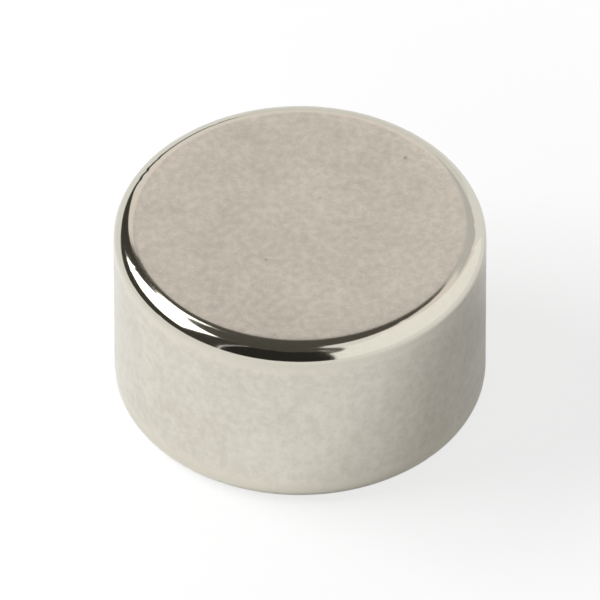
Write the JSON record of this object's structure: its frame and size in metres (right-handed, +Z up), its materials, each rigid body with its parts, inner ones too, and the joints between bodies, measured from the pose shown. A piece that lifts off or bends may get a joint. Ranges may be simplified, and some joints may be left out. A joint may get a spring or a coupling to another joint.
{
  "type": "disc magnet",
  "caption": "Thick round disc magnet for holding and latching, with flat pole faces, a plain barrel and rounded edges, nickel plated.",
  "frame": {"origin": "centre of the lower pole face, on the surface that the magnet stands on", "axes": "+Z up along the disc's axis, through the thickness, which is also the direction of magnetisation; X and Y are any two directions across the disc"},
  "size_m": [0.009, 0.009, 0.005],
  "materials": {
    "nickel_plate": "nickel plate, tumbled: satin pole faces with a faint mottle, finely grained barrel, bright polished rounded edges"
  },
  "bodies": {
    "root": {"disc_magnet": "nickel_plate"}
  },
  "joints": []
}
